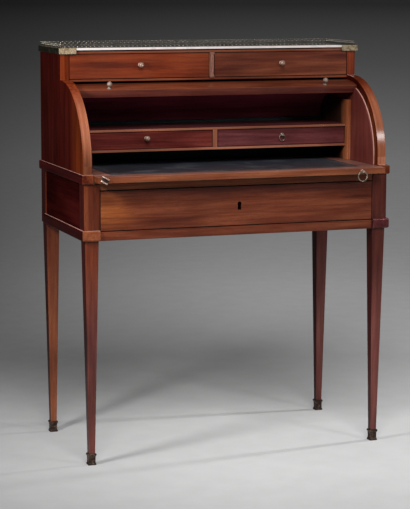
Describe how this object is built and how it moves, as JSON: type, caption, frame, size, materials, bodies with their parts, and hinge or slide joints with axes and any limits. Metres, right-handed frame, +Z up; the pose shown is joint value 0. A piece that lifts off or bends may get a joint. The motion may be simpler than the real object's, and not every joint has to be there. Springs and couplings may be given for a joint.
{
  "type": "cylinder desk",
  "caption": "Small mahogany cylinder desk on tapered legs: curved shell over a fitted interior, leather writing slide, drawers, marble top with brass gallery.",
  "frame": {"origin": "on the floor, under the middle of the desk's box with the writing slide a little way out", "axes": "+X to the right of someone sitting at the desk, +Y to the back, +Z up"},
  "size_m": [0.838, 0.466, 1.06],
  "materials": {
    "mahogany": "french polished",
    "interior_mahogany": "polished",
    "secondary_oak": "bare, aged",
    "brass": "aged",
    "bronze": "dark patina",
    "lock_steel": "aged",
    "marble": "polished",
    "leather": "worn"
  },
  "bodies": {
    "carcase": {"leg_front_left": "mahogany", "leg_front_right": "mahogany", "leg_rear_left": "mahogany", "leg_rear_right": "mahogany", "apron_left": "mahogany", "apron_right": "mahogany", "drawer_rail_lower": "mahogany", "drawer_rail_upper": "mahogany", "top_board": "mahogany", "base_mouldings": "mahogany", "waist_mouldings": "mahogany", "side_panel_left": "mahogany", "side_panel_right": "mahogany", "lining_left": "mahogany", "lining_right": "mahogany", "frieze_rail_lower": "mahogany", "frieze_rail_top": "mahogany", "frieze_partition": "mahogany", "cheek_left": "interior_mahogany", "cheek_right": "interior_mahogany", "shelf_lower": "interior_mahogany", "shelf_upper": "interior_mahogany", "shelf_divider": "interior_mahogany", "apron_back": "secondary_oak", "drawer_runners": "secondary_oak", "slide_bed": "secondary_oak", "back_panel": "secondary_oak", "frieze_floor": "secondary_oak", "interior_back": "secondary_oak", "fluted_strip": "brass", "corner_bands": "brass", "gallery": "brass", "sabots": "bronze", "marble_top": "marble"},
    "cylinder": {"cylinder_shell": "mahogany", "cylinder_rail": "mahogany", "cylinder_knobs": "brass"},
    "writing_slide": {"slide_board": "mahogany", "slide_leather": "leather", "slide_ring_post": "brass", "slide_bracket": "brass"},
    "slide_ring": {"slide_ring": "brass"},
    "main_drawer": {"main_drawer_front": "mahogany", "main_drawer_box": "secondary_oak", "main_drawer_lock": "lock_steel"},
    "main_drawer_bolt": {"main_drawer_bolt": "lock_steel"},
    "frieze_drawer_left": {"frieze_drawer_front_left": "mahogany", "frieze_drawer_box_left": "secondary_oak", "frieze_drawer_knob_left": "brass"},
    "frieze_drawer_right": {"frieze_drawer_front_right": "mahogany", "frieze_drawer_box_right": "secondary_oak", "frieze_drawer_knob_right": "brass"},
    "inner_drawer_left": {"inner_drawer_front_left": "interior_mahogany", "inner_drawer_box_left": "secondary_oak", "inner_drawer_knob": "brass"},
    "inner_drawer_right": {"inner_drawer_front_right": "interior_mahogany", "inner_drawer_box_right": "secondary_oak", "inner_drawer_ring_post": "brass"},
    "inner_drawer_ring": {"inner_drawer_ring": "brass"}
  },
  "joints": [
    {"name": "cylinder_turn", "type": "hinge", "parent": "carcase", "child": "cylinder", "pos_m": [0, 0.032, 0.764], "axis": [-1, 0, 0], "range_deg": [-75.8, 0]},
    {"name": "writing_slide_slide", "type": "slide", "parent": "carcase", "child": "writing_slide", "axis": [0, -1, 0], "range_m": [-0.044, 0.17]},
    {"name": "slide_ring_swing", "type": "hinge", "parent": "writing_slide", "child": "slide_ring", "pos_m": [0.322, -0.2284, 0.7343], "axis": [-1, 0, 0], "range_deg": [0, 120]},
    {"name": "main_drawer_slide", "type": "slide", "parent": "carcase", "child": "main_drawer", "axis": [0, -1, 0], "range_m": [0, 0.25]},
    {"name": "main_drawer_bolt_slide", "type": "slide", "parent": "main_drawer", "child": "main_drawer_bolt", "axis": [0, 0, 1], "range_m": [0, 0.008]},
    {"name": "frieze_drawer_left_slide", "type": "slide", "parent": "carcase", "child": "frieze_drawer_left", "axis": [0, -1, 0], "range_m": [0, 0.12]},
    {"name": "frieze_drawer_right_slide", "type": "slide", "parent": "carcase", "child": "frieze_drawer_right", "axis": [0, -1, 0], "range_m": [0, 0.12]},
    {"name": "inner_drawer_left_slide", "type": "slide", "parent": "carcase", "child": "inner_drawer_left", "axis": [0, -1, 0], "range_m": [0, 0.1]},
    {"name": "inner_drawer_right_slide", "type": "slide", "parent": "carcase", "child": "inner_drawer_right", "axis": [0, -1, 0], "range_m": [0, 0.1]},
    {"name": "inner_drawer_ring_swing", "type": "hinge", "parent": "inner_drawer_right", "child": "inner_drawer_ring", "pos_m": [0.19, 0.0026, 0.8141], "axis": [-1, 0, 0], "range_deg": [0, 110]}
  ]
}
